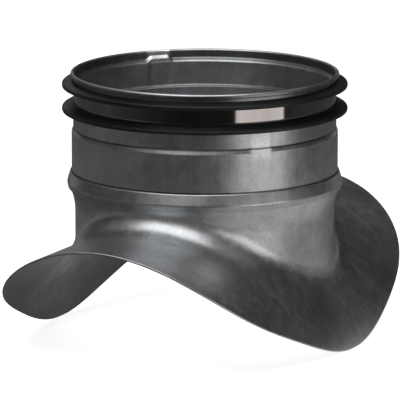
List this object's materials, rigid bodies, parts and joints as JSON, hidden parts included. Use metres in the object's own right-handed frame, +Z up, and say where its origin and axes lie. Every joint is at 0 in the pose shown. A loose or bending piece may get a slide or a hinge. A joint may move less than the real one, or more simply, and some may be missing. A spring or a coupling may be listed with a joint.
{
  "type": "duct saddle collar",
  "caption": "Pressed steel saddle with a short round branch collar and a double-lip rubber gasket, for joining a branch duct to a larger round duct.",
  "frame": {"origin": "on the crown of the main duct that the saddle lies on, where the branch axis meets it", "axes": "+Z up the branch, +Y along the main duct, the saddle's two lobes hang at +X and -X"},
  "size_m": [0.123, 0.1782, 0.0995],
  "materials": {
    "saddle_steel": "galvanised, drawn, with a faint mottle and fine scratches",
    "collar_steel": "galvanised, rolled, with fine upright streaks",
    "gasket_rubber": "black, satin",
    "band_steel": "bright rolled"
  },
  "bodies": {
    "root": {"saddle": "saddle_steel", "collar": "collar_steel", "gasket": "gasket_rubber", "gasket_band": "band_steel"}
  },
  "joints": []
}
